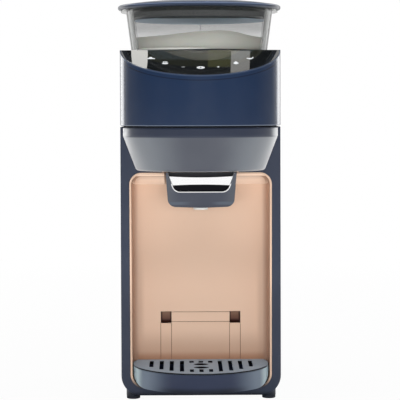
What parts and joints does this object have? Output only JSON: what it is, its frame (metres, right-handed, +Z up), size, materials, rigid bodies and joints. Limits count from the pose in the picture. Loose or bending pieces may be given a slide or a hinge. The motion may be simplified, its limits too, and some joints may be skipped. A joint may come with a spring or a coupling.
{
  "type": "baby formula maker",
  "caption": "Upright countertop baby formula maker with bottle bay, drip tray, funnel drawer, touch panel, clear powder hopper on top and rear water tank.",
  "frame": {"origin": "middle of the footprint's box on the surface the feet stand on", "axes": "+Z up, front faces -Y, +X to the right seen from the front"},
  "size_m": [0.1692, 0.29, 0.4047],
  "materials": {
    "column_paint": "satin slate blue",
    "head_paint": "satin navy",
    "cowl_paint": "satin slate grey",
    "liner": "satin beige",
    "black_glass": "polished, backed black",
    "clear_plastic": "polished clear copolyester",
    "tank_plastic": "smoked clear plastic",
    "dark_plastic": "fine texture",
    "grey_plastic": "fine texture",
    "white_plastic": "natural",
    "rubber": "matte",
    "silicone": "translucent",
    "chrome": "mirror",
    "steel": "mill",
    "aluminium": "cast",
    "board": "solder mask",
    "copper": "bright"
  },
  "bodies": {
    "housing": {"column_shell": "column_paint", "rear_cover": "dark_plastic", "cover_screws": "steel", "deck_screws": "steel", "base_screws": "steel", "feet": "rubber", "base_plate": "steel", "service_plate": "steel", "bay_liner": "liner", "mid_deck": "steel", "head_shell": "head_paint", "panel_glass": "black_glass", "control_board": "board", "hopper_well": "dark_plastic", "outlet_seal": "silicone", "spout_cowl": "cowl_paint", "gear_motor": "steel", "motor_screws": "steel", "shaft_bushes": "copper", "shaft_seal": "rubber", "powder_chute": "white_plastic", "drawer_rails": "grey_plastic", "tank_dock": "column_paint", "dock_seal": "rubber", "pump_mount": "rubber", "pump_motor": "steel", "pump_housing": "white_plastic", "pump_cover": "white_plastic", "heater_block": "aluminium", "temperature_sensor": "steel", "hoses": "silicone", "water_nozzle": "steel", "power_board": "board", "mains_inlet": "dark_plastic"},
    "hopper": {"hopper_jar": "clear_plastic", "scraper": "clear_plastic"},
    "lid": {"lid_cap": "head_paint", "lid_plug": "grey_plastic", "lid_seal": "rubber"},
    "dosing_wheel": {"dosing_wheel": "white_plastic", "stirrer": "white_plastic"},
    "drive": {"drive_shaft": "steel", "drive_gear": "white_plastic"},
    "pinion": {"motor_pinion": "copper", "motor_shaft": "steel"},
    "funnel_drawer": {"drawer_body": "cowl_paint", "chrome_trim": "chrome", "trim_lens": "black_glass", "drawer_bezel": "chrome", "funnel": "white_plastic"},
    "drip_tray": {"drip_tray": "cowl_paint"},
    "drip_grid": {"drip_grid": "cowl_paint"},
    "water_tank": {"water_tank": "tank_plastic", "tank_hinge_pin": "steel", "valve_cage": "white_plastic", "valve_spring": "steel"},
    "tank_lid": {"tank_lid": "dark_plastic"},
    "valve": {"valve_poppet": "white_plastic"},
    "level_float": {"level_float": "white_plastic"},
    "pump_rotor": {"pump_rotor": "white_plastic"}
  },
  "joints": [
    {"name": "hopper_lift", "type": "slide", "parent": "housing", "child": "hopper", "axis": [0, 0, 1], "range_m": [0, 0.085]},
    {"name": "lid_lift", "type": "slide", "parent": "hopper", "child": "lid", "axis": [0, 0, 1], "range_m": [0, 0.04]},
    {"name": "wheel_spin", "type": "hinge", "parent": "hopper", "child": "dosing_wheel", "pos_m": [0, -0.004, 0.33], "axis": [0, 0, 1], "continuous": true},
    {"name": "drive_spin", "type": "hinge", "parent": "housing", "child": "drive", "pos_m": [0, -0.004, 0.29], "axis": [0, 0, 1], "continuous": true},
    {"name": "pinion_spin", "type": "hinge", "parent": "housing", "child": "pinion", "pos_m": [0.03, -0.004, 0.287], "axis": [0, 0, 1], "continuous": true},
    {"name": "drawer_slide", "type": "slide", "parent": "housing", "child": "funnel_drawer", "axis": [0, -1, 0], "range_m": [0, 0.07]},
    {"name": "tray_slide", "type": "slide", "parent": "housing", "child": "drip_tray", "axis": [0, -1, 0], "range_m": [0, 0.11]},
    {"name": "grid_lift", "type": "slide", "parent": "drip_tray", "child": "drip_grid", "axis": [0, 0, 1], "range_m": [0, 0.03]},
    {"name": "tank_lift", "type": "slide", "parent": "housing", "child": "water_tank", "axis": [0, 0, 1], "range_m": [0, 0.06]},
    {"name": "tank_lid_hinge", "type": "hinge", "parent": "water_tank", "child": "tank_lid", "pos_m": [0, 0.1417, 0.2533], "axis": [-1, 0, 0], "range_deg": [0, 100]},
    {"name": "valve_travel", "type": "slide", "parent": "water_tank", "child": "valve", "axis": [0, 0, -1], "range_m": [0, 0.003], "deforming": ["valve_spring"]},
    {"name": "float_rise", "type": "slide", "parent": "water_tank", "child": "level_float", "axis": [0, 0, 1], "range_m": [0, 0.17]},
    {"name": "rotor_spin", "type": "hinge", "parent": "housing", "child": "pump_rotor", "pos_m": [-0.036, 0.042, 0.06], "axis": [0, 0, 1], "continuous": true}
  ],
  "couplings": [
    {"joint": "drive_spin", "follows": "wheel_spin", "ratio": 1},
    {"joint": "pinion_spin", "follows": "wheel_spin", "ratio": -4},
    {"joint": "valve_travel", "follows": "tank_lift", "ratio": 0.05}
  ]
}
